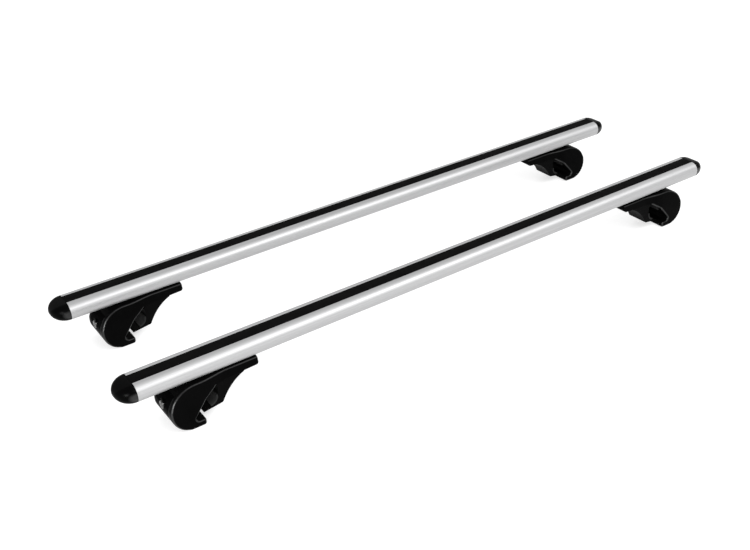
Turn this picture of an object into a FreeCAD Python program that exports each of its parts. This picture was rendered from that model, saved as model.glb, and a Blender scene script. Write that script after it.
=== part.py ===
import FreeCAD, Part
import math
import os

# Pair of roof cross bars for cars with raised roof rails. Each bar is a hollow
# aluminium extrusion with a rubber strip in its top track and a moulded cap on
# each end, and stands on two moulded feet that hook round a rail.
# Millimetres: +X along the bars, +Y from the front bar to the rear bar, +Z up.
# The origin lies on the ground, midway between the bars and their ends.

V = FreeCAD.Vector

# Bar extrusion
BAR_LENGTH = 1146.0
BAR_SPACING = 260.0
BAR_WIDTH = 54.0
BAR_HEIGHT = 29.0
BAR_CORNER = 14.2
BAR_WALL = 2.0
WEB_INNER = 12.0
TRACK_WIDTH = 24.0
TRACK_DEPTH = 7.0
TRACK_MOUTH = 12.0
RECESS_DEPTH = 2.6
CHANNEL_WIDTH = 20.0
CHANNEL_DEPTH = 7.0
CHANNEL_MOUTH = 10.0

# Rubber strip in the top track
STRIP_WIDTH = 22.0
STRIP_PROUD = 0.4
STRIP_STEM_DEPTH = 4.5
STRIP_EDGE = 0.8
STRIP_FIT = 0.2

# End caps
CAP_DOME = 27.0
CAP_PLUG = 24.0
CAP_FIT = 0.2
CAP_RINGS = 8
CAP_LAST_RING_DEG = 80.0

# Foot: outline seen from the front, measured inboard from the bar's end
FOOT_HEIGHT = 74.0
LEDGE_DROP = 3.0
NOSE_X = 39.5
NOSE_Z = 34.0
NOSE_TOP_X = 84.0
NOSE_BOTTOM_X = 72.0
ARM_TIP_X = 188.0
ARM_TIP_DROP = 15.0
ARM_ROOT_X = 121.0
ARM_ROOT_DROP = 17.5
TIP_ROUND = 4.0
# Foot: half widths at the ground, and how far the sides draw in towards the top
NOSE_HALF = 33.6
TIP_HALF = 27.6
SIDE_LEAN = 8.0
SIDE_LEVELS = 5
TAPER_START_X = 90.0
TAPER_END_X = 137.0
EDGE_ROUND = 4.0
# Foot: lip of the hook
LIP_X = 91.0
LIP_Z = 10.5
LIP_ROUND = 3.0
LIP_TOE_ROUND = 4.0
HOOK_END_X = 76.8
HOOK_END_Z = 18.0
HOOK_FLOOR_X = 81.0

# Roof rail that the clamp closes round
RAIL_RADIUS = 11.0
RAIL_X = 104.0
RAIL_Z = 31.5
RAIL_FIT = 0.3
NOTCH_GAP = 1.2
NOTCH_LOW_DEG = 140.0
NOTCH_HIGH_DEG = 122.0

# Rubber pads round the rail, as wide as the jaw
PAD_HALF = 20.0
HOOK_PAD_THICK = 4.0
HOOK_PAD_FROM_DEG = 98.0
HOOK_PAD_TO_DEG = 174.0
JAW_PAD_THICK = 3.0
JAW_PAD_FROM_DEG = -84.0
JAW_PAD_TO_DEG = 8.0
PAD_FIT = 0.1

# Gasket between the foot and the bar
GASKET_HALF = 16.0
GASKET_START_X = 82.0
GASKET_END_X = 180.0
SLIDE_FIT = 0.3

# Sliding jaw: a neck in the foot's guide, and a wider body below the arm
JAW_HALF = 12.0
JAW_ARM_GAP = 0.6
JAW_FRONT_X = 113.0
JAW_FACE_X = 119.5
JAW_FACE_DROP = 9.5
JAW_TOE_X = 100.0
JAW_TOE_Z = 14.4
HEEL_X = 125.0
HEEL_Z = 16.5
HEEL_ROUND = 4.0
# Jaw: a point of the sweep behind the heel as shares of its run and rise, and its slopes
SWEEP_RUN = 0.3
SWEEP_RISE = 0.47
SWEEP_HEEL_SLOPE = 2.0
SWEEP_BACK_SLOPE = 0.42
JAW_BACK_X = 164.0
JAW_BACK_DROP = 18.5
JAW_FLANGE_HALF = 16.0
JAW_FLANGE_THICK = 4.0
JAW_FLANGE_END_X = 158.0
JAW_TRAVEL = 20.0
GUIDE_ROOF_DROP = 7.6
GUIDE_FIT = 0.3
GUIDE_START_X = 108.0
GUIDE_END_GAP = 3.0

# Clamp screw and its nut
SCREW_DROP = 10.9
SCREW_RADIUS = 4.0
SCREW_HEAD_RADIUS = 6.2
SCREW_HEAD_LENGTH = 8.0
SCREW_SEAT_X = 66.0
SCREW_END_X = 150.0
SCREW_HEAD_ROOM = 0.4
SCREW_SOCKET_AF = 6.0
SCREW_SOCKET_DEPTH = 4.5
BORE_FIT = 0.3
THREAD_FIT = 0.08
CLAMP_NUT_AF = 13.0
CLAMP_NUT_THICK = 6.5
CLAMP_NUT_X = 118.0

# Bolt that holds the foot in the bar's lower channel
BOLT_X = 95.0
BOLT_RADIUS = 3.0
BOLT_HEAD_LENGTH = 16.0
BOLT_HEAD_THICK = 5.0
BOLT_NUT_AF = 10.0
BOLT_NUT_THICK = 5.0
BOLT_TAIL = 0.4
BOLT_ACCESS_RADIUS = 7.0

# Nose pocket, cover and lock
COVER_THICK = 3.0
COVER_HALF = 20.0
COVER_TOP_DROP = 14.0
COVER_BOTTOM_Z = 15.0
COVER_FIT = 0.25
POCKET_HALF = 17.5
POCKET_TOP_DROP = 15.0
POCKET_BOTTOM_Z = 18.5
CORE_X = 71.0
CORE_TOP_DROP = 10.5
LOCK_DROP = 15.5
LOCK_RADIUS = 6.5
LOCK_PROUD = 1.5
LOCK_BOSS_RADIUS = 9.5
LOCK_BOSS_X = 54.0
LOCK_BACK_X = 57.6
LOCK_TAIL = 5.0
LOCK_FIT = 0.08
LOCK_RIM = 0.8
KEYWAY_LENGTH = 7.0
KEYWAY_WIDTH = 1.6
KEYWAY_DEPTH = 9.0
CAM_THICK = 2.0
CAM_WIDTH = 9.0
CAM_REACH = 13.0
CAM_GAP = 0.3
CATCH_TOP_DROP = 10.0
CATCH_THICK = 3.0

# Levels and offsets worked out from the sizes above
BAR_BOTTOM = FOOT_HEIGHT
BAR_MID = FOOT_HEIGHT + BAR_HEIGHT / 2
BAR_TOP = FOOT_HEIGHT + BAR_HEIGHT
FOOT_TOP = FOOT_HEIGHT - LEDGE_DROP
GASKET_THICK = LEDGE_DROP - SLIDE_FIT
ARM_TIP_Z = FOOT_HEIGHT - ARM_TIP_DROP
ARM_ROOT_Z = FOOT_HEIGHT - ARM_ROOT_DROP
GUIDE_ROOF_Z = FOOT_HEIGHT - GUIDE_ROOF_DROP
SCREW_Z = GUIDE_ROOF_Z - SCREW_DROP
HEAD_X = SCREW_SEAT_X - SCREW_HEAD_LENGTH
JAW_FACE_Z = SCREW_Z - JAW_FACE_DROP
JAW_BACK_Z = FOOT_HEIGHT - JAW_BACK_DROP
COVER_TOP_Z = FOOT_HEIGHT - COVER_TOP_DROP
POCKET_TOP_Z = FOOT_HEIGHT - POCKET_TOP_DROP
CORE_TOP_Z = SCREW_Z - CORE_TOP_DROP
LOCK_Z = SCREW_Z - LOCK_DROP
CATCH_TOP_Z = LOCK_Z - CATCH_TOP_DROP
NOTCH_RADIUS = RAIL_RADIUS + NOTCH_GAP
PAD_RADIUS = RAIL_RADIUS + RAIL_FIT
JAW_ARC_RADIUS = PAD_RADIUS + JAW_PAD_THICK + PAD_FIT
HOOK_ARC_RADIUS = PAD_RADIUS + HOOK_PAD_THICK + PAD_FIT
RECESS_FLOOR = BAR_TOP - RECESS_DEPTH
TRACK_TOP = RECESS_FLOOR - BAR_WALL
CHANNEL_FLOOR = BAR_BOTTOM + BAR_WALL
GUIDE_SLOT_HALF = JAW_HALF + GUIDE_FIT
GUIDE_LIP_Z = GUIDE_ROOF_Z - JAW_FLANGE_THICK - 2 * GUIDE_FIT
FLANGE_TOP = GUIDE_ROOF_Z - GUIDE_FIT
NUT_SEAT_Z = GUIDE_ROOF_Z
# Reach of cutting tools that pass right through, their overrun, and a match limit
FAR = 400.0
OVERRUN = 1.0
NEAR = 0.1
# Points along each drawn curve
CURVE_STEPS = 6


def polar(radius, degrees):
    """Point on a circle round the rail, in the foot's XZ plane."""
    angle = math.radians(degrees)
    return V(RAIL_X + radius * math.cos(angle), 0, RAIL_Z + radius * math.sin(angle))


def line(start, end):
    return Part.LineSegment(start, end).toShape()


def arc(start, middle, end):
    return Part.Arc(start, middle, end).toShape()


def smooth(points, start_tangent, end_tangent):
    """Smooth curve through points, with its direction given at both ends."""
    curve = Part.BSplineCurve()
    curve.interpolate(Points=points, InitialTangent=start_tangent, FinalTangent=end_tangent)
    return curve.toShape()


def quarter_points(flat, upright):
    """Points of an elliptic quarter, level at `flat` and upright at `upright`."""
    points = []
    for step in range(CURVE_STEPS + 1):
        angle = math.pi / 2 * step / CURVE_STEPS
        x = flat.x + (upright.x - flat.x) * math.sin(angle)
        z = upright.z + (flat.z - upright.z) * math.cos(angle)
        points.append(V(x, 0, z))
    return points


def across(edges, half):
    """Solid of an outline in the XZ plane, `half` to each side of Y = 0."""
    face = Part.Face(Part.Wire(edges))
    face.translate(V(0, -half, 0))
    return face.extrude(V(0, 2 * half, 0))


def box(x0, x1, y0, y1, z0, z1):
    return Part.makeBox(x1 - x0, y1 - y0, z1 - z0, V(x0, y0, z0))


def rod(radius, x0, x1, z):
    """Cylinder along X in the plane Y = 0."""
    return Part.makeCylinder(radius, x1 - x0, V(x0, 0, z), V(1, 0, 0))


def rod_y(radius, half):
    """Cylinder along Y round the rail's centre."""
    return Part.makeCylinder(radius, 2 * half, V(RAIL_X, -half, RAIL_Z), V(0, 1, 0))


def hexagon(width_across_flats, start, height, axis):
    """Hexagonal prism that starts at a point and runs along an axis."""
    radius = width_across_flats / math.sqrt(3)
    wire = Part.makePolygon(
        [V(radius * math.cos(math.pi / 3 * k), radius * math.sin(math.pi / 3 * k), 0) for k in range(7)]
    )
    prism = Part.Face(wire).extrude(V(0, 0, height))
    prism.Placement = FreeCAD.Placement(start, FreeCAD.Rotation(V(0, 0, 1), axis))
    return prism


def section_edges(grow, x, share=1.0):
    """Outline of the bar's section in the YZ plane, grown by `grow`, then scaled to `share`."""
    half_y = (BAR_WIDTH / 2 + grow) * share
    half_z = (BAR_HEIGHT / 2 + grow) * share
    radius = (BAR_CORNER + grow) * share
    flat_y = half_y - radius
    flat_z = half_z - radius
    slant = radius * math.sqrt(0.5)
    corners = [(1, 1), (-1, 1), (-1, -1), (1, -1)]
    edges = []
    for index, (sy, sz) in enumerate(corners):
        side = V(x, sy * half_y, BAR_MID + sz * flat_z)
        level = V(x, sy * flat_y, BAR_MID + sz * half_z)
        bend = V(x, sy * (flat_y + slant), BAR_MID + sz * (flat_z + slant))
        start, end = (side, level) if index % 2 == 0 else (level, side)
        edges.append(arc(start, bend, end))
        ny, nz = corners[(index + 1) % 4]
        if index % 2 == 0:
            following = V(x, ny * flat_y, BAR_MID + nz * half_z)
        else:
            following = V(x, ny * half_y, BAR_MID + nz * flat_z)
        edges.append(line(end, following))
    return edges


def section_prism(grow, x0, x1):
    """Bar's section carried along X from x0 to x1."""
    return Part.Face(Part.Wire(section_edges(grow, x0))).extrude(V(x1 - x0, 0, 0))


def bar_extrusion():
    """Hollow bar: top track, lower channel, and closed chambers between them."""
    x0, x1 = -BAR_LENGTH / 2, BAR_LENGTH / 2
    body = section_prism(0, x0, x1)
    inside = section_prism(-BAR_WALL, x0, x1)
    web_outer = WEB_INNER + BAR_WALL
    sides = inside.cut(box(x0, x1, -web_outer, web_outer, 0, FAR))
    track_floor = TRACK_TOP - TRACK_DEPTH
    channel_top = CHANNEL_FLOOR + CHANNEL_DEPTH
    cuts = [
        sides,
        box(x0, x1, -STRIP_WIDTH / 2, STRIP_WIDTH / 2, RECESS_FLOOR, FAR),
        box(x0, x1, -TRACK_MOUTH / 2, TRACK_MOUTH / 2, track_floor, FAR),
        box(x0, x1, -TRACK_WIDTH / 2, TRACK_WIDTH / 2, track_floor, TRACK_TOP),
        box(x0, x1, -WEB_INNER, WEB_INNER, channel_top + BAR_WALL, track_floor - BAR_WALL),
        box(x0, x1, -CHANNEL_WIDTH / 2, CHANNEL_WIDTH / 2, CHANNEL_FLOOR, channel_top),
        box(x0, x1, -CHANNEL_MOUTH / 2, CHANNEL_MOUTH / 2, 0, channel_top),
    ]
    return body.cut(cuts)


def strip():
    """Rubber strip: a flat cover with softened edges on a stem in the track's mouth."""
    x0, x1 = -BAR_LENGTH / 2, BAR_LENGTH / 2
    half = STRIP_WIDTH / 2 - STRIP_FIT
    stem_half = TRACK_MOUTH / 2 - STRIP_FIT
    top = BAR_TOP + STRIP_PROUD
    cover = box(x0, x1, -half, half, RECESS_FLOOR, top)
    top_edges = [e for e in cover.Edges if e.CenterOfMass.z > top - NEAR and e.Length > STRIP_WIDTH]
    cover = cover.makeFillet(STRIP_EDGE, top_edges)
    stem = box(x0, x1, -stem_half, stem_half, RECESS_FLOOR - STRIP_STEM_DEPTH, RECESS_FLOOR)
    return cover.fuse(stem).removeSplitter()


def end_cap():
    """Cap on the +X end: a domed shell with two plugs in the bar's side chambers."""
    face_x = BAR_LENGTH / 2
    rings = []
    for ring in range(CAP_RINGS):
        angle = math.radians(CAP_LAST_RING_DEG) * ring / (CAP_RINGS - 1)
        height = CAP_DOME * math.sin(angle) / math.sin(math.radians(CAP_LAST_RING_DEG))
        rings.append(Part.Wire(section_edges(0, face_x + height, math.cos(angle))))
    dome = Part.makeLoft(rings, True, False)
    plug_x = face_x - CAP_PLUG
    plugs = section_prism(-BAR_WALL - CAP_FIT, plug_x, face_x)
    inner = WEB_INNER + BAR_WALL + CAP_FIT
    plugs = plugs.cut(box(plug_x, face_x, -inner, inner, 0, FAR))
    cap = dome
    for plug in plugs.Solids:
        cap = cap.fuse(plug)
    return cap


def side_curve(side, nose_half, tip_half, z):
    """Side of the foot seen from above: straight at the nose, drawn in along the arm."""
    points = []
    for step in range(CURVE_STEPS + 1):
        share = step / CURVE_STEPS
        ease = share * share * (3 - 2 * share)
        x = TAPER_START_X + (TAPER_END_X - TAPER_START_X) * share
        points.append(V(x, side * (nose_half + (tip_half - nose_half) * ease), z))
    return smooth(points, V(1, 0, 0), V(1, 0, 0))


def plan_wire(z):
    """Foot's outline seen from above, at one height: it draws in by the square of the height."""
    drawn_in = SIDE_LEAN * (z / FOOT_TOP) ** 2
    nose_half = NOSE_HALF - drawn_in
    tip_half = TIP_HALF - drawn_in
    x0, x1 = NOSE_X - EDGE_ROUND, ARM_TIP_X + EDGE_ROUND
    near = [
        line(V(x0, -nose_half, z), V(TAPER_START_X, -nose_half, z)),
        side_curve(-1, nose_half, tip_half, z),
        line(V(TAPER_END_X, -tip_half, z), V(x1, -tip_half, z)),
    ]
    far = [
        line(V(x1, tip_half, z), V(TAPER_END_X, tip_half, z)),
        side_curve(1, nose_half, tip_half, z),
        line(V(TAPER_START_X, nose_half, z), V(x0, nose_half, z)),
    ]
    tip = line(V(x1, -tip_half, z), V(x1, tip_half, z))
    back = line(V(x0, nose_half, z), V(x0, -nose_half, z))
    return Part.Wire(near + [tip] + far + [back])


def nose_edges(inset):
    """Rounded nose from the ledge round to the ground, moved inwards by `inset`."""
    top = V(NOSE_TOP_X, 0, FOOT_TOP - inset)
    tip = V(NOSE_X + inset, 0, NOSE_Z)
    bottom = V(NOSE_BOTTOM_X, 0, inset)
    upper = smooth(quarter_points(top, tip), V(-1, 0, 0), V(0, 0, -1))
    lower = smooth(quarter_points(bottom, tip)[::-1], V(0, 0, -1), V(1, 0, 0))
    return [upper, lower]


def round_corner(corner, start, end):
    """Quarter round from `start` to `end`, whose sides would meet at `corner`."""
    centre = start + end - corner
    middle = centre + (corner - centre) * math.sqrt(0.5)
    return arc(start, middle, end)


def foot_outline():
    """Foot seen from the front: nose, hook with its lip, notch for the rail, and arm."""
    nose_bottom = V(NOSE_BOTTOM_X, 0, 0)
    lip_low = V(LIP_X - LIP_TOE_ROUND, 0, 0)
    lip_front = V(LIP_X, 0, LIP_TOE_ROUND)
    lip_high = V(LIP_X, 0, LIP_Z - LIP_ROUND)
    lip_top = V(LIP_X - LIP_ROUND, 0, LIP_Z)
    hook_floor = V(HOOK_FLOOR_X, 0, LIP_Z)
    hook_end = V(HOOK_END_X, 0, HOOK_END_Z)
    low = polar(NOTCH_RADIUS, NOTCH_LOW_DEG)
    high = polar(NOTCH_RADIUS, NOTCH_HIGH_DEG)
    middle = polar(NOTCH_RADIUS, (NOTCH_LOW_DEG + NOTCH_HIGH_DEG) / 2)
    arm_root = V(ARM_ROOT_X, 0, ARM_ROOT_Z)
    tip_low = V(ARM_TIP_X - TIP_ROUND, 0, ARM_TIP_Z)
    tip_side = V(ARM_TIP_X, 0, ARM_TIP_Z + TIP_ROUND)
    tip_top = V(ARM_TIP_X, 0, FOOT_TOP)
    edges = nose_edges(0)
    edges += [
        line(nose_bottom, lip_low),
        round_corner(V(LIP_X, 0, 0), lip_low, lip_front),
        line(lip_front, lip_high),
        round_corner(V(LIP_X, 0, LIP_Z), lip_high, lip_top),
        line(lip_top, hook_floor),
        smooth([hook_floor, hook_end], V(-1, 0, 0), low - hook_end),
        line(hook_end, low),
        arc(low, middle, high),
        line(high, arm_root),
        line(arm_root, tip_low),
        round_corner(V(ARM_TIP_X, 0, ARM_TIP_Z), tip_low, tip_side),
        line(tip_side, tip_top),
        line(tip_top, V(NOSE_TOP_X, 0, FOOT_TOP)),
    ]
    return edges


def foot_block():
    """Foot's outer form: its front outline, held between two leaning sides."""
    block = across(foot_outline(), FAR)
    low_z, high_z = -EDGE_ROUND, FOOT_TOP + EDGE_ROUND
    step = (high_z - low_z) / (SIDE_LEVELS - 1)
    levels = [low_z + step * level for level in range(SIDE_LEVELS)]
    sides = Part.makeLoft([plan_wire(z) for z in levels], True, False)
    return block.common(sides)


def cover_zone(fit):
    """Layer of the nose that the cover fills, grown by `fit` on its edges."""
    outer = across(nose_edges(0) + [line(V(NOSE_BOTTOM_X, 0, 0), V(NOSE_TOP_X, 0, FOOT_TOP))], FAR)
    depth = COVER_THICK + fit
    core_top = V(NOSE_TOP_X, 0, FOOT_TOP - depth)
    core_bottom = V(NOSE_BOTTOM_X, 0, depth)
    core = across(nose_edges(depth) + [line(core_bottom, core_top)], FAR)
    half = COVER_HALF + fit
    window = box(0, SCREW_SEAT_X, -half, half, COVER_BOTTOM_Z - fit, COVER_TOP_Z + fit)
    return outer.cut(core).common(window)


def foot_shell():
    """Moulded foot: hook, arm, ledge under the bar, nose pocket and jaw guide."""
    block = foot_block()
    block = block.makeFillet(EDGE_ROUND, rounded_edges(block))
    guide_end = JAW_FLANGE_END_X + JAW_TRAVEL + GUIDE_END_GAP
    slot = GUIDE_SLOT_HALF
    flange = JAW_FLANGE_HALF + GUIDE_FIT
    cuts = [
        box(GUIDE_START_X, guide_end, -slot, slot, 0, GUIDE_ROOF_Z),
        box(GUIDE_START_X, guide_end, -flange, flange, GUIDE_LIP_Z, GUIDE_ROOF_Z),
        rod_y(HOOK_ARC_RADIUS, PAD_HALF + PAD_FIT),
        rod(SCREW_HEAD_RADIUS + SCREW_HEAD_ROOM, HEAD_X - SCREW_HEAD_ROOM, SCREW_SEAT_X, SCREW_Z),
        rod(SCREW_RADIUS + BORE_FIT, SCREW_SEAT_X - OVERRUN, GUIDE_START_X + OVERRUN, SCREW_Z),
        upright(BOLT_ACCESS_RADIUS, RAIL_Z, NUT_SEAT_Z),
        upright(BOLT_RADIUS + BORE_FIT, NUT_SEAT_Z, FOOT_TOP),
        cover_zone(COVER_FIT),
        box(NOSE_X, SCREW_SEAT_X, -POCKET_HALF, POCKET_HALF, POCKET_BOTTOM_Z, POCKET_TOP_Z),
        box(SCREW_SEAT_X, CORE_X, -POCKET_HALF, POCKET_HALF, POCKET_BOTTOM_Z, CORE_TOP_Z),
    ]
    shell = block.cut(cuts)
    catch_x = LOCK_BACK_X - CAM_GAP
    catch = box(catch_x - CATCH_THICK, catch_x, -POCKET_HALF, POCKET_HALF, POCKET_BOTTOM_Z, CATCH_TOP_Z)
    return shell.fuse(catch).removeSplitter()


def rounded_edges(block):
    """Edges between the foot's sides and its nose and ledge."""
    chosen = []
    for edge in block.Edges:
        centre = edge.CenterOfMass
        outside = abs(centre.y) > (NOSE_HALF - SIDE_LEAN) / 2
        on_nose = centre.x < NOSE_BOTTOM_X and centre.z > EDGE_ROUND
        on_ledge = centre.z > FOOT_TOP - NEAR
        if outside and (on_nose or on_ledge) and edge.Length > 2 * EDGE_ROUND:
            chosen.append(edge)
    return chosen


def upright(radius, z0, z1):
    """Cylinder along Z on the channel bolt's axis."""
    return Part.makeCylinder(radius, z1 - z0, V(BOLT_X, 0, z0))


def cover():
    """Cover that closes the nose pocket, with the lock's boss behind it."""
    panel = cover_zone(0).common(foot_block())
    boss = rod(LOCK_BOSS_RADIUS, NOSE_X + COVER_THICK / 2, LOCK_BOSS_X, LOCK_Z)
    return panel.fuse(boss).cut(rod(LOCK_RADIUS + LOCK_FIT, 0, NOSE_TOP_X, LOCK_Z))


def lock_barrel():
    """Lock barrel with its keyway in front and a square tail behind."""
    front = NOSE_X - LOCK_PROUD
    barrel = rod(LOCK_RADIUS, front, LOCK_BACK_X, LOCK_Z)
    rim = [e for e in barrel.Edges if e.CenterOfMass.x < front + NEAR]
    barrel = barrel.makeChamfer(LOCK_RIM, rim)
    half = LOCK_TAIL / 2
    tail = box(LOCK_BACK_X, LOCK_BACK_X + CAM_THICK, -half, half, LOCK_Z - half, LOCK_Z + half)
    keyway = box(
        front, front + KEYWAY_DEPTH,
        -KEYWAY_WIDTH / 2, KEYWAY_WIDTH / 2,
        LOCK_Z - KEYWAY_LENGTH / 2, LOCK_Z + KEYWAY_LENGTH / 2,
    )
    return barrel.cut(keyway).fuse(tail)


def lock_cam():
    """Steel cam on the lock's tail, that drops behind the catch in the pocket."""
    x0, x1 = LOCK_BACK_X, LOCK_BACK_X + CAM_THICK
    half = CAM_WIDTH / 2
    hub = rod(half, x0, x1, LOCK_Z)
    finger = box(x0, x1, -half, half, LOCK_Z - CAM_REACH, LOCK_Z)
    tail = LOCK_TAIL / 2
    return hub.fuse(finger).removeSplitter().cut(box(x0, x1, -tail, tail, LOCK_Z - tail, LOCK_Z + tail))


def clamp_screw():
    """Socket-head screw that draws the jaw to the hook."""
    head = rod(SCREW_HEAD_RADIUS, HEAD_X, SCREW_SEAT_X, SCREW_Z)
    shank = rod(SCREW_RADIUS, SCREW_SEAT_X, SCREW_END_X, SCREW_Z)
    socket = hexagon(SCREW_SOCKET_AF, V(HEAD_X, 0, SCREW_Z), SCREW_SOCKET_DEPTH, V(1, 0, 0))
    return head.fuse(shank).cut(socket)


def jaw_outline():
    """Jaw seen from the front: block under the arm, curved face, toe and heel."""
    block_front = V(JAW_FRONT_X, 0, GUIDE_LIP_Z)
    chin = V(JAW_FRONT_X, 0, SCREW_Z - SCREW_RADIUS)
    face = V(JAW_FACE_X, 0, JAW_FACE_Z)
    face_end = polar(JAW_ARC_RADIUS, JAW_PAD_TO_DEG)
    face_mid = polar(JAW_ARC_RADIUS, (JAW_PAD_TO_DEG + JAW_PAD_FROM_DEG) / 2)
    face_start = polar(JAW_ARC_RADIUS, JAW_PAD_FROM_DEG)
    toe = V(JAW_TOE_X, 0, JAW_TOE_Z + (face_start.z - JAW_TOE_Z) / 2)
    toe_low = V(JAW_TOE_X, 0, JAW_TOE_Z)
    heel = V(HEEL_X, 0, HEEL_Z)
    back = V(JAW_BACK_X, 0, JAW_BACK_Z)
    back_top = V(JAW_BACK_X, 0, GUIDE_LIP_Z)
    between = V(heel.x + SWEEP_RUN * (back.x - heel.x), 0, heel.z + SWEEP_RISE * (back.z - heel.z))
    return [
        line(block_front, chin),
        line(chin, face),
        line(face, face_end),
        arc(face_end, face_mid, face_start),
        line(face_start, toe),
        line(toe, toe_low),
        line(toe_low, heel),
        smooth([heel, between, back], V(1, 0, SWEEP_HEEL_SLOPE), V(1, 0, SWEEP_BACK_SLOPE)),
        line(back, back_top),
        line(back_top, block_front),
    ]


def jaw():
    """Sliding jaw, with the flange that hangs it in the foot's guide."""
    body = across(jaw_outline(), PAD_HALF).cut(arm_room())
    neck_block = across(jaw_outline(), JAW_HALF)
    neck = box(JAW_FRONT_X, JAW_FLANGE_END_X, -JAW_HALF, JAW_HALF, GUIDE_LIP_Z, FLANGE_TOP)
    flange_z = FLANGE_TOP - JAW_FLANGE_THICK
    flange = box(JAW_FRONT_X, JAW_FLANGE_END_X, -JAW_FLANGE_HALF, JAW_FLANGE_HALF, flange_z, FLANGE_TOP)
    heel = [e for e in body.Edges if is_heel(e)]
    body = body.makeFillet(HEEL_ROUND, heel)
    neck_room = box(JAW_FRONT_X, JAW_FLANGE_END_X, -JAW_HALF, JAW_HALF, JAW_FACE_Z, FAR)
    body = body.fuse(neck_block.common(neck_room)).fuse(neck).fuse(flange).removeSplitter()
    half = CLAMP_NUT_AF / 2 + THREAD_FIT
    nut_x0 = CLAMP_NUT_X - THREAD_FIT
    nut_x1 = CLAMP_NUT_X + CLAMP_NUT_THICK + THREAD_FIT
    nut_slot = box(nut_x0, nut_x1, -half, half, SCREW_Z - half, FAR)
    bore = rod(SCREW_RADIUS + BORE_FIT, JAW_FRONT_X - OVERRUN, JAW_BACK_X + OVERRUN, SCREW_Z)
    return body.cut([nut_slot, bore])


def arm_room():
    """Space of the foot's arm and a gap below it, that the jaw's wide body keeps out of."""
    low = polar(NOTCH_RADIUS, NOTCH_HIGH_DEG) - V(0, 0, JAW_ARM_GAP)
    root = V(ARM_ROOT_X, 0, ARM_ROOT_Z - JAW_ARM_GAP)
    tip = V(ARM_TIP_X, 0, ARM_TIP_Z - JAW_ARM_GAP)
    high = V(ARM_TIP_X, 0, FAR)
    back = V(low.x, 0, FAR)
    return across([line(low, root), line(root, tip), line(tip, high), line(high, back), line(back, low)], FAR)


def is_heel(edge):
    """True for the jaw's lowest inboard edge, across its width."""
    centre = edge.CenterOfMass
    return abs(centre.x - HEEL_X) < NEAR and abs(centre.z - HEEL_Z) < NEAR


def jaw_nut():
    """Square nut held in the jaw."""
    half = CLAMP_NUT_AF / 2
    x1 = CLAMP_NUT_X + CLAMP_NUT_THICK
    nut = box(CLAMP_NUT_X, x1, -half, half, SCREW_Z - half, SCREW_Z + half)
    return nut.cut(rod(SCREW_RADIUS + THREAD_FIT, CLAMP_NUT_X - OVERRUN, x1 + OVERRUN, SCREW_Z))


def rail_pad(thick, from_deg, to_deg):
    """Rubber pad round part of the rail."""
    inner, outer = PAD_RADIUS, PAD_RADIUS + thick
    middle = (from_deg + to_deg) / 2
    edges = [
        arc(polar(inner, from_deg), polar(inner, middle), polar(inner, to_deg)),
        line(polar(inner, to_deg), polar(outer, to_deg)),
        arc(polar(outer, to_deg), polar(outer, middle), polar(outer, from_deg)),
        line(polar(outer, from_deg), polar(inner, from_deg)),
    ]
    return across(edges, PAD_HALF)


def gasket():
    """Rubber gasket shaped to the underside of the bar, with a hole for the bolt."""
    layer = section_prism(SLIDE_FIT + GASKET_THICK, GASKET_START_X, GASKET_END_X)
    layer = layer.cut(section_prism(SLIDE_FIT, GASKET_START_X, GASKET_END_X))
    window = box(GASKET_START_X, GASKET_END_X, -GASKET_HALF, GASKET_HALF, 0, BAR_MID)
    return layer.common(window).cut(upright(BOLT_RADIUS + BORE_FIT, 0, FAR))


def channel_bolt():
    """Bolt whose long head runs in the bar's lower channel."""
    half_y = CHANNEL_WIDTH / 2 - SLIDE_FIT
    half_x = BOLT_HEAD_LENGTH / 2
    head_z = CHANNEL_FLOOR + SLIDE_FIT
    head = box(BOLT_X - half_x, BOLT_X + half_x, -half_y, half_y, head_z, head_z + BOLT_HEAD_THICK)
    return head.fuse(upright(BOLT_RADIUS, NUT_SEAT_Z - BOLT_NUT_THICK - BOLT_TAIL, head_z))


def channel_nut():
    """Hexagon nut that pulls the channel bolt down on the foot."""
    base = NUT_SEAT_Z - BOLT_NUT_THICK
    nut = hexagon(BOLT_NUT_AF, V(BOLT_X, 0, base), BOLT_NUT_THICK, V(0, 0, 1))
    return nut.cut(upright(BOLT_RADIUS + THREAD_FIT, base - OVERRUN, NUT_SEAT_Z + OVERRUN))


def foot_pieces():
    """Every piece of one foot, in the foot's own place at the bar's -X end."""
    return {
        "shell": foot_shell(),
        "cover": cover(),
        "lock_barrel": lock_barrel(),
        "lock_cam": lock_cam(),
        "clamp_screw": clamp_screw(),
        "jaw": jaw(),
        "jaw_nut": jaw_nut(),
        "jaw_pad": rail_pad(JAW_PAD_THICK, JAW_PAD_FROM_DEG, JAW_PAD_TO_DEG),
        "hook_pad": rail_pad(HOOK_PAD_THICK, HOOK_PAD_FROM_DEG, HOOK_PAD_TO_DEG),
        "gasket": gasket(),
        "channel_bolt": channel_bolt(),
        "channel_nut": channel_nut(),
    }


def placed(shape, turned, y):
    """Copy of a shape, turned half round the vertical where asked, moved to a bar."""
    copy = shape.copy()
    if turned:
        copy.rotate(V(0, 0, 0), V(0, 0, 1), 180)
    copy.translate(V(0, y, 0))
    return copy


def main():
    """Build every piece once, and write a copy to each of its places."""
    os.makedirs("parts", exist_ok=True)
    extrusion, rubber, cap = bar_extrusion(), strip(), end_cap()
    foot = foot_pieces()
    for piece in foot.values():
        piece.translate(V(-BAR_LENGTH / 2, 0, 0))
    for bar, y in (("front", -BAR_SPACING / 2), ("rear", BAR_SPACING / 2)):
        write(bar + "_bar", placed(extrusion, False, y))
        write(bar + "_strip", placed(rubber, False, y))
        write(bar + "_right_cap", placed(cap, False, y))
        write(bar + "_left_cap", placed(cap, True, y))
        for name, piece in foot.items():
            write(bar + "_left_" + name, placed(piece, False, y))
            write(bar + "_right_" + name, placed(piece, True, y))


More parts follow.
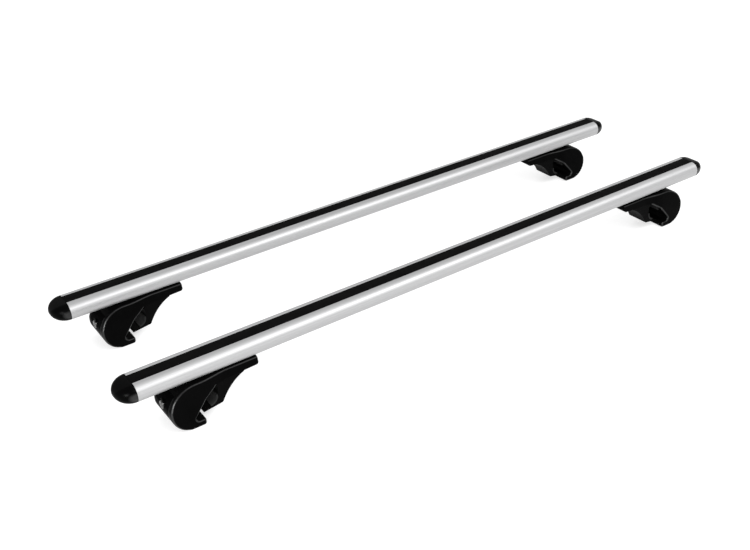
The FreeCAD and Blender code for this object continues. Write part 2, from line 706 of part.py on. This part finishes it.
def write(name, shape):
    """Write one piece as STEP."""
    shape.exportStep("parts/" + name + ".step")


main()
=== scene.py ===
"""Looks of a pair of roof cross bars on clamp feet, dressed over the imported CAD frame.

The bars, strips and caps are surfaces worked out with numpy. The moulded pieces of the feet
are merged copies of their CAD solids with softened edges, and the steel fittings are the CAD
solids with a plating. Metres throughout, in the CAD frame: +X along the bars, +Y to the rear
bar, +Z up.
"""

import logging
import math
from dataclasses import dataclass, field
from enum import Enum

import bmesh
import bpy
import numpy as np
from mathutils import Matrix, Vector

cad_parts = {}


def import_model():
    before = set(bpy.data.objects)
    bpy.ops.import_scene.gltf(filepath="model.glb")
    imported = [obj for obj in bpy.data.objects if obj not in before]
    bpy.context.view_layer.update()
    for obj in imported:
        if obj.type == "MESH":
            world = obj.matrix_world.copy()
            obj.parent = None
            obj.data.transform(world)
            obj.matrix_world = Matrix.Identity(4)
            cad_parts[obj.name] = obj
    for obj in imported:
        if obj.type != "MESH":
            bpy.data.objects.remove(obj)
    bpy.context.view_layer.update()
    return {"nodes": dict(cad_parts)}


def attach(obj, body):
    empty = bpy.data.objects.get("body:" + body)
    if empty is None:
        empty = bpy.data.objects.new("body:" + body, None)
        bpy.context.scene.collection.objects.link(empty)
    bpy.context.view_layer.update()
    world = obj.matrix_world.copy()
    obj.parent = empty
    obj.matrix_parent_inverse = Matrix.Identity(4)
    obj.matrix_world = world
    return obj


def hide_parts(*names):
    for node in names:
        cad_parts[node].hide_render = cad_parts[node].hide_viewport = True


LOG = logging.getLogger("cross_bars")
MM = 0.001
PHOTO_WIDTH_PX = 750

# Attribute of a raised gloss that paints highlights on the feet's rounded shoulders and the caps'
# girths.
SHOULDER_HIGHLIGHT = "shoulder"
FAC_LOW = 0.3
FAC_HIGH = 0.7
RING_MERGE = 0.002 * MM
COPY_MERGE = 0.01 * MM
FINISH_MERGE = 0.005 * MM
FLAT_ANGLE = 0.2
LEAST_SHARE = 1e-9
GIRTH_POWER = 8

Color = tuple[float, float, float, float]


class Bar(Enum):
    """The two bars of the pair, with their place across the car."""

    FRONT = ("front", -0.130)
    REAR = ("rear", 0.130)

    @property
    def label(self) -> str:
        """Name at the head of the bar's nodes."""
        return self.value[0]

    @property
    def y(self) -> float:
        """Place of the bar's middle plane."""
        return self.value[1]


class End(Enum):
    """The two ends of a bar, with the direction in which each faces outwards."""

    LEFT = ("left", -1.0)
    RIGHT = ("right", 1.0)

    @property
    def label(self) -> str:
        """Name of the end in the nodes."""
        return self.value[0]

    @property
    def outward(self) -> float:
        """Sign of X towards the outside."""
        return self.value[1]


class Board:
    """A material's node tree, with short calls that add and join nodes."""

    def __init__(self, name: str) -> None:
        """Start a material with a bare surface shader.

        Args:
            name: Name of the material.
        """
        self.material = bpy.data.materials.new(name)
        self.material.use_nodes = True
        self.tree = self.material.node_tree
        self.tree.nodes.clear()
        self.shader = self.add("ShaderNodeBsdfPrincipled")
        output = self.add("ShaderNodeOutputMaterial")
        self.link(self.shader, "BSDF", output, "Surface")
        self.place = self.add("ShaderNodeTexCoord")

    def add(self, kind: str, **settings: object) -> bpy.types.Node:
        """Add a node.

        Args:
            kind: Blender's name of the node type.
            settings: Attributes to set on it.

        Returns:
            The new node.
        """
        node = self.tree.nodes.new(kind)
        for key, value in settings.items():
            setattr(node, key, value)
        return node

    def link(self, source: bpy.types.Node, out: str, target: bpy.types.Node, into: str) -> None:
        """Join an output socket of one node to an input socket of another, both by name."""
        self.tree.links.new(source.outputs[out], target.inputs[into])

    def surface(self, color: Color, metallic: float, roughness: float, specular: float) -> None:
        """Set the plain values of the shader.

        Args:
            color: Base colour, linear.
            metallic: 1 for bare metal and 0 for the rest.
            roughness: Mean roughness.
            specular: Specular level.
        """
        self.shader.inputs["Base Color"].default_value = color
        self.shader.inputs["Metallic"].default_value = metallic
        self.shader.inputs["Roughness"].default_value = roughness
        self.shader.inputs["Specular IOR Level"].default_value = specular

    def noise(self, stretch: tuple[float, float, float], detail: float) -> bpy.types.Node:
        """Noise on Object coordinates.

        Args:
            stretch: Cycles a metre along X, Y and Z.
            detail: Octaves of finer noise.

        Returns:
            The noise node, whose Fac runs from 0 to 1.
        """
        mapping = self.add("ShaderNodeMapping")
        mapping.inputs["Scale"].default_value = stretch
        self.link(self.place, "Object", mapping, "Vector")
        noise = self.add("ShaderNodeTexNoise")
        noise.inputs["Scale"].default_value = 1.0
        noise.inputs["Detail"].default_value = detail
        self.link(mapping, "Vector", noise, "Vector")
        return noise

    def spread(self, source: bpy.types.Node, low: float, high: float, into: str) -> None:
        """Carry the Fac of a noise or an attribute into a shader value.

        Args:
            source: Noise or attribute node.
            low: Value where the Fac is FAC_LOW or less.
            high: Value where the Fac is FAC_HIGH or more.
            into: Input of the shader.
        """
        reach = self.add("ShaderNodeMapRange")
        reach.inputs["From Min"].default_value = FAC_LOW
        reach.inputs["From Max"].default_value = FAC_HIGH
        reach.inputs["To Min"].default_value = low
        reach.inputs["To Max"].default_value = high
        self.link(source, "Fac", reach, "Value")
        self.link(reach, "Result", self.shader, into)

    def tint(self, source: bpy.types.Node, low: Color, high: Color) -> None:
        """Carry a noise into the base colour, between two colours."""
        ramp = self.add("ShaderNodeValToRGB")
        ramp.color_ramp.elements[0].position = FAC_LOW
        ramp.color_ramp.elements[0].color = low
        ramp.color_ramp.elements[1].position = FAC_HIGH
        ramp.color_ramp.elements[1].color = high
        self.link(source, "Fac", ramp, "Fac")
        self.link(ramp, "Color", self.shader, "Base Color")

    def bump(self, source: bpy.types.Node, strength: float, depth: float) -> None:
        """Carry a noise into the surface normal.

        Args:
            source: Noise node.
            strength: Share of the bump that shows.
            depth: Height of the bump in metres.
        """
        bump = self.add("ShaderNodeBump")
        bump.inputs["Strength"].default_value = strength
        bump.inputs["Distance"].default_value = depth
        self.link(source, "Fac", bump, "Height")
        self.link(bump, "Normal", self.shader, "Normal")


def grey(level: float) -> Color:
    """Neutral colour of one linear level."""
    return (level, level, level, 1.0)


def even(cycles: float) -> tuple[float, float, float]:
    """Noise of the same cycles a metre along X, Y and Z."""
    return (cycles, cycles, cycles)


@dataclass(frozen=True)
class AnodisedAluminium:
    """Satin anodised extrusion: fine die lines along X, and a slow drift of the sheen."""

    name: str = "anodised_aluminium"
    low: Color = (0.50, 0.502, 0.506, 1.0)
    high: Color = (0.56, 0.561, 0.564, 1.0)
    roughness: tuple[float, float] = (0.49, 0.55)
    anisotropy: float = 0.25
    line_cycles: tuple[float, float, float] = (1.5, 420.0, 420.0)
    sheen_cycles: tuple[float, float, float] = (6.0, 1500.0, 1500.0)
    scratch_cycles: tuple[float, float, float] = (10.0, 2600.0, 2600.0)
    scratch_strength: float = 0.12
    scratch_depth: float = 0.02 * MM

    def material(self) -> bpy.types.Material:
        """Return the finish as a material."""
        board = Board(self.name)
        board.surface(self.high, 1.0, self.roughness[0], 0.5)
        board.shader.inputs["Anisotropic"].default_value = self.anisotropy
        board.tint(board.noise(self.line_cycles, 3.0), self.low, self.high)
        board.spread(board.noise(self.sheen_cycles, 2.0), *self.roughness, "Roughness")
        board.bump(board.noise(self.scratch_cycles, 2.0), self.scratch_strength, self.scratch_depth)
        return board.material


@dataclass(frozen=True)
class MouldedPlastic:
    """Black injection moulding with a spark-eroded grain, and a raised gloss on its rounded shoulders
    that paints highlights there.
    """

    name: str
    level: float
    roughness: tuple[float, float]
    specular: float
    grain: float
    grain_depth: float
    highlight_specular: float = 0.0
    cloud_cycles: float = 40.0
    sheen_cycles: float = 90.0
    grain_strength: float = 0.25
    cloud: tuple[float, float] = (0.85, 1.2)

    def material(self) -> bpy.types.Material:
        """Return the finish as a material."""
        board = Board(self.name)
        board.surface(grey(self.level), 0.0, self.roughness[0], self.specular)
        low, high = (grey(self.level * share) for share in self.cloud)
        board.tint(board.noise(even(self.cloud_cycles), 4.0), low, high)
        board.spread(board.noise(even(self.sheen_cycles), 5.0), *self.roughness, "Roughness")
        board.bump(board.noise(even(self.grain), 2.0), self.grain_strength, self.grain_depth)
        # Painted highlight: the specular level rises where the shoulder attribute is high.
        if self.highlight_specular:
            shoulder = board.add("ShaderNodeAttribute", attribute_name=SHOULDER_HIGHLIGHT)
            board.spread(shoulder, self.specular, self.highlight_specular, "Specular IOR Level")
        return board.material


@dataclass(frozen=True)
class Rubber:
    """Black rubber: matt, with a fine tooth and a faint bloom."""

    name: str
    level: float
    roughness: tuple[float, float] = (0.55, 0.72)
    specular: float = 0.2
    bloom_cycles: tuple[float, float, float] = (25.0, 60.0, 60.0)
    sheen_cycles: float = 120.0
    tooth_cycles: float = 1800.0
    tooth_strength: float = 0.35
    tooth_depth: float = 0.05 * MM
    bloom: tuple[float, float] = (0.8, 1.35)

    def material(self) -> bpy.types.Material:
        """Return the finish as a material."""
        board = Board(self.name)
        board.surface(grey(self.level), 0.0, self.roughness[0], self.specular)
        low, high = (grey(self.level * share) for share in self.bloom)
        board.tint(board.noise(self.bloom_cycles, 5.0), low, high)
        board.spread(board.noise(even(self.sheen_cycles), 4.0), *self.roughness, "Roughness")
        board.bump(board.noise(even(self.tooth_cycles), 3.0), self.tooth_strength, self.tooth_depth)
        return board.material


@dataclass(frozen=True)
class PlatedMetal:
    """Plated steel or nickel, with fine turning marks and a slight cloud in the plating."""

    name: str
    low: Color
    high: Color
    roughness: tuple[float, float]
    cloud_cycles: float = 160.0
    sheen_cycles: float = 300.0
    mark_cycles: tuple[float, float, float] = (1500.0, 4000.0, 4000.0)
    mark_strength: float = 0.1
    mark_depth: float = 0.02 * MM

    def material(self) -> bpy.types.Material:
        """Return the finish as a material."""
        board = Board(self.name)
        board.surface(self.high, 1.0, self.roughness[0], 0.5)
        board.tint(board.noise(even(self.cloud_cycles), 4.0), self.low, self.high)
        board.spread(board.noise(even(self.sheen_cycles), 3.0), *self.roughness, "Roughness")
        board.bump(board.noise(self.mark_cycles, 2.0), self.mark_strength, self.mark_depth)
        return board.material


class Finishes:
    """Every material of the pair, made once."""

    def __init__(self) -> None:
        """Make the materials."""
        self.aluminium = AnodisedAluminium().material()
        self.strip = Rubber("strip_rubber", 0.003, specular=0.015).material()
        self.pad = Rubber("pad_rubber", 0.016, specular=0.08).material()
        # The caps, the foot and the jaw get a raised specular level on their shoulders, a painted
        # highlight.
        self.cap = MouldedPlastic(
            "cap_plastic", 0.0007, (0.27, 0.33), 0.025, 1500.0, 0.03 * MM, highlight_specular=0.5
        ).material()
        self.foot = MouldedPlastic(
            "foot_plastic", 0.0018, (0.30, 0.38), 0.012, 1700.0, 0.03 * MM, highlight_specular=0.5
        ).material()
        self.cover = MouldedPlastic(
            "cover_plastic", 0.0012, (0.18, 0.24), 0.002, 900.0, 0.01 * MM
        ).material()
        self.jaw = MouldedPlastic(
            "jaw_plastic", 0.0025, (0.34, 0.44), 0.015, 1700.0, 0.04 * MM, highlight_specular=0.4
        ).material()
        self.steel = PlatedMetal(
            "zinc_steel", (0.50, 0.50, 0.47, 1.0), (0.66, 0.66, 0.64, 1.0), (0.24, 0.36)
        ).material()
        self.nickel = PlatedMetal(
            "lock_nickel", (0.10, 0.10, 0.10, 1.0), (0.16, 0.16, 0.155, 1.0), (0.24, 0.32)
        ).material()


def arc_points(
    centre: tuple[float, float], radius: float, start: float, end: float, count: int
) -> np.ndarray:
    """Points of a circular arc: the centre plus the radius at evenly spaced angles.

    Args:
        centre: Centre in the plane of the profile.
        radius: Radius, in metres.
        start: First angle in degrees.
        end: Last angle in degrees.
        count: Number of points.

    Returns:
        Array of shape (count, 2).
    """
    angles = np.radians(np.linspace(start, end, count))
    return np.column_stack((centre[0] + radius * np.cos(angles), centre[1] + radius * np.sin(angles)))


def ring_faces(rings: int, around: int) -> np.ndarray:
    """Quads between neighbouring closed rings of the same number of points.

    Args:
        rings: Number of rings.
        around: Points on each ring.

    Returns:
        Array of vertex indices of shape ((rings - 1) * around, 4).
    """
    first = np.arange(rings - 1)[:, None] * around
    here = np.arange(around)[None, :]
    following = (here + 1) % around
    beyond = first + around
    quads = np.stack((first + here, first + following, beyond + following, beyond + here), axis=-1)
    return quads.reshape(-1, 4)


def ringed_piece(
    name: str, rings: np.ndarray, material: bpy.types.Material, crease: float
) -> bpy.types.Object:
    """Closed solid through a stack of closed rings, with a face over the first and the last.

    Args:
        name: Name of the piece.
        rings: Points, of shape (rings, around, 3).
        material: Finish of the piece.
        crease: Angle in degrees past which an edge stays sharp.

    Returns:
        The new object, at the origin.
    """
    count, around, _ = rings.shape
    faces = ring_faces(count, around).tolist()
    faces.append(list(range(around))[::-1])
    faces.append(list(range((count - 1) * around, count * around)))
    mesh = bpy.data.meshes.new(name)
    mesh.from_pydata(rings.reshape(-1, 3).tolist(), [], faces)
    return finished(name, mesh, material, crease, merge=RING_MERGE)


def finished(
    name: str, mesh: bpy.types.Mesh, material: bpy.types.Material, crease: float, merge: float
) -> bpy.types.Object:
    """Close a mesh's seams, point its faces outwards, smooth it and put it in the scene.

    Args:
        name: Name of the piece.
        mesh: Mesh with its place in its points.
        material: Finish.
        crease: Angle in degrees past which an edge stays sharp.
        merge: Distance within which points are one.

    Returns:
        The new object.
    """
    work = bmesh.new()
    work.from_mesh(mesh)
    bmesh.ops.remove_doubles(work, verts=work.verts, dist=merge)
    bmesh.ops.recalc_face_normals(work, faces=work.faces)
    work.to_mesh(mesh)
    work.free()
    mesh.polygons.foreach_set("use_smooth", np.ones(len(mesh.polygons), dtype=bool))
    mesh.set_sharp_from_angle(angle=math.radians(crease))
    mesh.materials.clear()
    mesh.materials.append(material)
    piece = bpy.data.objects.new(name, mesh)
    bpy.context.scene.collection.objects.link(piece)
    return piece


def face_normals(mesh: bpy.types.Mesh) -> np.ndarray:
    """Normals of a mesh's faces, of shape (faces, 3)."""
    normals = np.empty(len(mesh.polygons) * 3)
    mesh.polygons.foreach_get("normal", normals)
    return normals.reshape(-1, 3)


def write_highlight_gloss(mesh: bpy.types.Mesh, values: np.ndarray) -> None:
    """Write the attribute that the moulded plastics read for the raised gloss of their painted
    highlights, one value a face.
    """
    attribute = mesh.attributes.new(SHOULDER_HIGHLIGHT, "FLOAT", "FACE")
    attribute.data.foreach_set("value", values)


def mark_shoulder_highlights(mesh: bpy.types.Mesh) -> None:
    """Write on each face how far it rounds a shoulder, for a raised gloss that paints highlights
    there.

    With n the share of the face's normal across the foot, the rounding is 4 n^2 (1 - n^2),
    which is 1 halfway between a cheek and a rim. The upright shoulders of the nose keep all
    of it, and level ones less.

    Args:
        mesh: Mesh of a moulded piece.
    """
    along, across, up = (face_normals(mesh) ** 2).T
    rounding = 4.0 * across * (1.0 - across)
    upright = along / np.maximum(along + up, LEAST_SHARE)
    write_highlight_gloss(mesh, rounding * (0.5 + 0.5 * upright))


def mark_girth_highlight(mesh: bpy.types.Mesh) -> None:
    """Write on each face of a cap how far it faces across the bar, for a raised gloss that paints a
    highlight on its girth.

    The value is a high power of the share of the face's normal across the bar, so only the
    widest girth of the cap has much of it.

    Args:
        mesh: Mesh of a cap.
    """
    across = face_normals(mesh)[:, 1]
    write_highlight_gloss(mesh, across ** GIRTH_POWER)


def carried(profile: np.ndarray, stations: np.ndarray, y: float) -> np.ndarray:
    """Profile in the YZ plane carried along X.

    Args:
        profile: Points (y, z), of shape (around, 2), as offsets from the bar's middle plane.
        stations: Places along X.
        y: Place of the bar's middle plane.

    Returns:
        Rings of shape (stations, around, 3).
    """
    rings = np.empty((len(stations), len(profile), 3))
    rings[:, :, 0] = stations[:, None]
    rings[:, :, 1:] = profile[None, :, :]
    rings[:, :, 1] += y
    return rings


@dataclass
class CrossBar:
    """One bar: extrusion, rubber strip and two end caps."""

    bar: Bar
    length: float = 1.146
    width: float = 0.054
    height: float = 0.029
    corner: float = 0.0142
    bottom: float = 0.074
    recess_half: float = 0.011
    recess_depth: float = 0.0026
    mouth_half: float = 0.005
    wall: float = 0.002
    channel_half: float = 0.010
    channel_depth: float = 0.007
    edge: float = 0.0004
    strip_half: float = 0.0108
    strip_proud: float = 0.0004
    strip_edge: float = 0.0008
    strip_seat: float = 0.006
    dome: float = 0.027
    cap_edge: float = 0.0005
    stations: int = 9
    lip_points: int = 5
    side_points: int = 28
    strip_points: int = 7
    cap_points: int = 20
    dome_spans: tuple[tuple[float, float, int], ...] = ((0.0, 84.0, 30), (86.0, 89.9, 6))
    bar_crease: float = 30.0
    soft_crease: float = 40.0

    @property
    def top(self) -> float:
        """Level of the bar's top."""
        return self.bottom + self.height

    def half_section(self) -> np.ndarray:
        """Right half of the section, from the recess over the side to the channel, as (y, z).

        The half runs along the flat top, round two quarter arcs, along the flat bottom, and
        into the channel; the lips of the recess and of the channel's mouth are rounded.

        Returns:
            Array of shape (points, 2).
        """
        flat = self.width / 2 - self.corner
        recess = self.top - self.recess_depth
        lip = self.bottom + self.wall
        channel_top = lip + self.channel_depth
        recess_lip = (self.recess_half + self.edge, self.top - self.edge)
        mouth_lip = (self.mouth_half + self.edge, self.bottom + self.edge)
        return np.concatenate((
            [(self.recess_half, recess)],
            arc_points(recess_lip, self.edge, 180, 90, self.lip_points),
            arc_points((flat, self.top - self.corner), self.corner, 90, 0, self.side_points),
            arc_points((flat, self.bottom + self.corner), self.corner, 0, -90, self.side_points),
            arc_points(mouth_lip, self.edge, -90, -180, self.lip_points),
            [(self.mouth_half, lip), (self.channel_half, lip), (self.channel_half, channel_top)],
        ))

    def mirrored(self, half: np.ndarray) -> np.ndarray:
        """Rings of a half profile and its mirror image, carried along the bar.

        Args:
            half: Points (y, z) of the right half.

        Returns:
            Rings of shape (stations, around, 3).
        """
        profile = np.concatenate((half, half[::-1] * (-1.0, 1.0)))
        places = np.linspace(-self.length / 2, self.length / 2, self.stations)
        return carried(profile, places, self.bar.y)

    def extrusion(self, finishes: Finishes) -> bpy.types.Object:
        """Bar of the two mirrored halves of the section, carried along X."""
        rings = self.mirrored(self.half_section())
        piece = ringed_piece(f"{self.bar.label}_bar_look", rings, finishes.aluminium, self.bar_crease)
        return self.settle(piece, "bar")

    def strip(self, finishes: Finishes) -> bpy.types.Object:
        """Flat strip with rounded upper edges on the floor of the recess, carried along X."""
        top = self.top + self.strip_proud
        floor = self.top - self.recess_depth
        inset = self.strip_half - self.strip_edge
        half = np.concatenate((
            [(self.strip_seat, floor), (self.strip_half, floor)],
            arc_points((inset, top - self.strip_edge), self.strip_edge, 0, 90, self.strip_points),
        ))
        rings = self.mirrored(half)
        piece = ringed_piece(f"{self.bar.label}_strip_look", rings, finishes.strip, self.soft_crease)
        return self.settle(piece, "strip")

    def cap(self, end: End, finishes: Finishes) -> bpy.types.Object:
        """Domed cap: the bar's section drawn in by the cosine of an angle while X grows by its sine.

        Args:
            end: End of the bar that the cap closes.
            finishes: Materials.

        Returns:
            The new piece.
        """
        flat = self.width / 2 - self.corner
        rise = self.height / 2 - self.corner
        quarter = arc_points((flat, rise), self.corner, 0, 90, self.cap_points)
        outline = np.concatenate((
            quarter, quarter[::-1] * (-1.0, 1.0), quarter * (-1.0, -1.0), quarter[::-1] * (1.0, -1.0)
        ))
        angles = np.radians(np.concatenate([np.linspace(*span) for span in self.dome_spans]))
        share = np.concatenate(([1.0 - self.cap_edge / (self.height / 2)], np.cos(angles)))
        along = np.concatenate(([0.0], self.cap_edge + (self.dome - self.cap_edge) * np.sin(angles)))
        rings = np.empty((len(share), len(outline), 3))
        rings[:, :, 0] = end.outward * (self.length / 2 + along)[:, None]
        rings[:, :, 1:] = outline[None, :, :] * share[:, None, None]
        rings[:, :, 1] += self.bar.y
        rings[:, :, 2] += self.bottom + self.height / 2
        name = f"{self.bar.label}_{end.label}_cap_look"
        piece = ringed_piece(name, rings, finishes.cap, self.soft_crease)
        # Painted highlight: a raised gloss round the cap's widest girth.
        mark_girth_highlight(piece.data)
        return self.settle(piece, f"{end.label}_cap")

    def settle(self, piece: bpy.types.Object, node: str) -> bpy.types.Object:
        """Put a piece on the bars in place of its CAD node.

        Args:
            piece: New piece.
            node: Rest of the node's name, after the bar's label.

        Returns:
            The same piece.
        """
        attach(piece, "bars")
        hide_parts(f"{self.bar.label}_{node}")
        return piece

    def build(self, finishes: Finishes) -> list[bpy.types.Object]:
        """Build every piece of the bar and return them."""
        pieces = [self.extrusion(finishes), self.strip(finishes)]
        pieces += [self.cap(end, finishes) for end in End]
        return pieces


@dataclass(frozen=True)
class Moulding:
    """How one solid of a foot is dressed: its node, body, slot, finish and softened edge."""

    node: str
    body: str
    slot: str
    finish: str
    edge: float
    crease: float = 32.0
    toe: bool = False


MOULDINGS = (
    Moulding("shell", "foot", "foot_plastic", "foot", 0.7 * MM),
    Moulding("cover", "foot", "cover_plastic", "cover", 0.4 * MM),
    Moulding("jaw", "jaw", "jaw_plastic", "jaw", 0.8 * MM, toe=True),
    Moulding("hook_pad", "foot", "pad_rubber", "pad", 0.5 * MM),
    Moulding("jaw_pad", "jaw", "pad_rubber", "pad", 0.5 * MM),
    Moulding("gasket", "foot", "pad_rubber", "strip", 0.3 * MM),
    Moulding("lock_barrel", "lock", "lock_metal", "nickel", 0.15 * MM),
)
PLAIN_STEEL = ("clamp_screw", "jaw_nut", "lock_cam", "channel_bolt", "channel_nut")


@dataclass
class ClampFoot:
    """One clamp foot: moulded pieces with softened edges, and plated steel fittings."""

    bar: Bar
    end: End
    nodes: dict[str, bpy.types.Object] = field(repr=False)
    toe_from: float = 0.4725
    toe_top: float = 0.020
    toe_reach: float = 0.0072
    toe_dip: float = 0.0022
    edge_segments: int = 2

    @property
    def label(self) -> str:
        """Name at the head of the foot's nodes and bodies."""
        return f"{self.bar.label}_{self.end.label}"

    def reach_toe(self, mesh: bpy.types.Mesh) -> None:
        """Draw the thin toe of the jaw out under the rail until it nearly meets the hook's lip.

        Args:
            mesh: Own copy of the jaw's mesh.
        """
        points = np.empty(len(mesh.vertices) * 3)
        mesh.vertices.foreach_get("co", points)
        points = points.reshape(-1, 3)
        toe = (self.end.outward * points[:, 0] > self.toe_from) & (points[:, 2] < self.toe_top)
        points[toe, 0] += self.end.outward * self.toe_reach
        points[toe, 2] -= self.toe_dip
        mesh.vertices.foreach_set("co", points.ravel())

    def moulded(self, moulding: Moulding, finishes: Finishes) -> bpy.types.Object:
        """Merged copy of a CAD solid with its flat faces joined and its edges softened.

        Args:
            moulding: How the solid is dressed.
            finishes: Materials.

        Returns:
            The new piece.
        """
        node = f"{self.label}_{moulding.node}"
        mesh = self.nodes[node].data.copy()
        name = f"{node}_look"
        mesh.name = name
        if moulding.toe:
            self.reach_toe(mesh)
        work = bmesh.new()
        work.from_mesh(mesh)
        bmesh.ops.remove_doubles(work, verts=work.verts, dist=COPY_MERGE)
        flat = math.radians(FLAT_ANGLE)
        bmesh.ops.dissolve_limit(
            work, angle_limit=flat, verts=work.verts, edges=work.edges, delimit=set()
        )
        work.to_mesh(mesh)
        work.free()
        # Painted highlight: a raised gloss along the rounded shoulders of the moulding.
        mark_shoulder_highlights(mesh)
        finish = getattr(finishes, moulding.finish)
        piece = finished(name, mesh, finish, moulding.crease, merge=FINISH_MERGE)
        bevel = piece.modifiers.new("softened_edges", "BEVEL")
        bevel.width = moulding.edge
        bevel.segments = self.edge_segments
        bevel.limit_method = "ANGLE"
        bevel.angle_limit = math.radians(moulding.crease)
        bevel.harden_normals = True
        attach(piece, f"{self.label}_{moulding.body}")
        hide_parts(node)
        return piece

    def fittings(self, finishes: Finishes) -> list[bpy.types.Object]:
        """Give the steel fittings, which keep their CAD solids, their plating."""
        pieces = [self.nodes[f"{self.label}_{node}"] for node in PLAIN_STEEL]
        for piece in pieces:
            piece.data.materials.clear()
            piece.data.materials.append(finishes.steel)
        return pieces

    def build(self, finishes: Finishes) -> list[bpy.types.Object]:
        """Dress every piece of the foot and return them."""
        return [self.moulded(moulding, finishes) for moulding in MOULDINGS] + self.fittings(finishes)


@dataclass(frozen=True)
class PhotoCamera:
    """Camera of the photograph, solved from the bars' edges."""

    place: tuple[float, float, float] = (-0.8979, -1.2479, 0.9245)
    azimuth: float = -33.4932
    elevation: float = 31.0643
    roll: float = -2.3742
    focal_px: float = 995.23
    sensor_mm: float = 36.0

    def build(self) -> bpy.types.Object:
        """Place the camera and make it the scene's.

        Returns:
            The camera object.
        """
        az, el, roll = (math.radians(a) for a in (self.azimuth, self.elevation, self.roll))
        back = Vector((math.sin(az) * math.cos(el), -math.cos(az) * math.cos(el), math.sin(el)))
        level = (-back).cross(Vector((0.0, 0.0, 1.0))).normalized()
        above = level.cross(-back)
        right = math.cos(roll) * level + math.sin(roll) * above
        up = math.cos(roll) * above - math.sin(roll) * level
        data = bpy.data.cameras.new("photo_camera")
        data.sensor_width = self.sensor_mm
        data.lens = self.focal_px * self.sensor_mm / PHOTO_WIDTH_PX
        camera = bpy.data.objects.new("photo_camera", data)
        turn = Matrix((right, up, back)).transposed().to_4x4()
        camera.matrix_world = Matrix.Translation(self.place) @ turn
        bpy.context.scene.collection.objects.link(camera)
        bpy.context.scene.camera = camera
        return camera


@dataclass(frozen=True)
class StudioLamp:
    """Rectangular soft lamp aimed at a point."""

    name: str
    place: tuple[float, float, float]
    aim: tuple[float, float, float]
    size: tuple[float, float]
    watts: float

    def build(self) -> bpy.types.Object:
        """Place the lamp.

        Returns:
            The lamp object.
        """
        data = bpy.data.lights.new(self.name, "AREA")
        data.shape = "RECTANGLE"
        data.size, data.size_y = self.size
        data.energy = self.watts
        lamp = bpy.data.objects.new(self.name, data)
        lamp.location = self.place
        look = Vector(self.aim) - Vector(self.place)
        lamp.rotation_euler = look.to_track_quat("-Z", "Y").to_euler()
        bpy.context.scene.collection.objects.link(lamp)
        return lamp


@dataclass(frozen=True)
class Studio:
    """Pale floor, grey sky and soft lamps.

    Attributes:
        floor_half: Half of the floor's side.
        floor_level: Grey of the floor.
        shown: Glow of the floor for the camera, gloss and glass.
        seen: More glow, for the camera alone.
        sky: Strength of the sky on the object.
        lamps: Soft lamps.
    """

    floor_half: float = 9.0
    floor_level: float = 0.55
    shown: float = 0.42
    seen: float = 0.2
    sky: float = 0.8
    lamps: tuple[StudioLamp, ...] = (
        StudioLamp("key_lamp", (0.6, -1.45, 1.75), (0.1, -0.1, 0.08), (2.4, 0.9), 29.0),
        StudioLamp("low_lamp", (-2.0, -1.45, 0.62), (-0.4, -0.1, 0.06), (0.7, 0.7), 34.0),
    )

    def sky_light(self) -> None:
        """Set the world to one plain grey that the camera sees as white."""
        world = bpy.data.worlds.new("studio_sky")
        world.use_nodes = True
        tree = world.node_tree
        background = tree.nodes["Background"]
        background.inputs["Color"].default_value = grey(1.0)
        path = tree.nodes.new("ShaderNodeLightPath")
        level = tree.nodes.new("ShaderNodeMapRange")
        level.inputs["To Min"].default_value = self.sky
        level.inputs["To Max"].default_value = 1.0
        tree.links.new(path.outputs["Is Camera Ray"], level.inputs["Value"])
        tree.links.new(level.outputs["Result"], background.inputs["Strength"])
        bpy.context.scene.world = world

    def floor_material(self) -> bpy.types.Material:
        """Pale floor that glows for the camera, gloss and glass, and still takes shadows.

        Returns:
            The material.
        """
        board = Board("pale_floor")
        board.surface(grey(self.floor_level), 0.0, 0.9, 0.0)
        board.shader.inputs["Emission Color"].default_value = grey(1.0)
        path = board.add("ShaderNodeLightPath")
        glow = None
        shares = {
            "Is Camera Ray": self.shown + self.seen,
            "Is Glossy Ray": self.shown,
            "Is Transmission Ray": self.shown,
        }
        for ray, share in shares.items():
            part = board.add("ShaderNodeMath", operation="MULTIPLY_ADD")
            part.inputs[1].default_value = share
            part.inputs[2].default_value = 0.0
            board.tree.links.new(path.outputs[ray], part.inputs[0])
            if glow is not None:
                board.tree.links.new(glow.outputs["Value"], part.inputs[2])
            glow = part
        board.link(glow, "Value", board.shader, "Emission Strength")
        return board.material

    def floor(self) -> bpy.types.Object:
        """Flat floor under the feet.

        Returns:
            The floor object.
        """
        half = self.floor_half
        corners = [(-half, -half, 0.0), (half, -half, 0.0), (half, half, 0.0), (-half, half, 0.0)]
        mesh = bpy.data.meshes.new("floor")
        mesh.from_pydata(corners, [], [(0, 1, 2, 3)])
        mesh.materials.append(self.floor_material())
        floor = bpy.data.objects.new("floor", mesh)
        bpy.context.scene.collection.objects.link(floor)
        return floor

    def build(self) -> None:
        """Set the sky, the floor, the lamps and the plain view transform."""
        self.sky_light()
        self.floor()
        for lamp in self.lamps:
            lamp.build()
        bpy.context.scene.view_settings.view_transform = "Standard"


def main() -> None:
    """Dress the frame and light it."""
    logging.basicConfig(level=logging.INFO, format="%(message)s")
    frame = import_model()
    finishes = Finishes()
    for bar in Bar:
        for piece in CrossBar(bar).build(finishes):
            LOG.info("bar piece %s", piece.name)
        for end in End:
            for piece in ClampFoot(bar, end, frame["nodes"]).build(finishes):
                LOG.info("foot piece %s", piece.name)
    Studio().build()
    PhotoCamera().build()


if __name__ == "__main__":
    main()
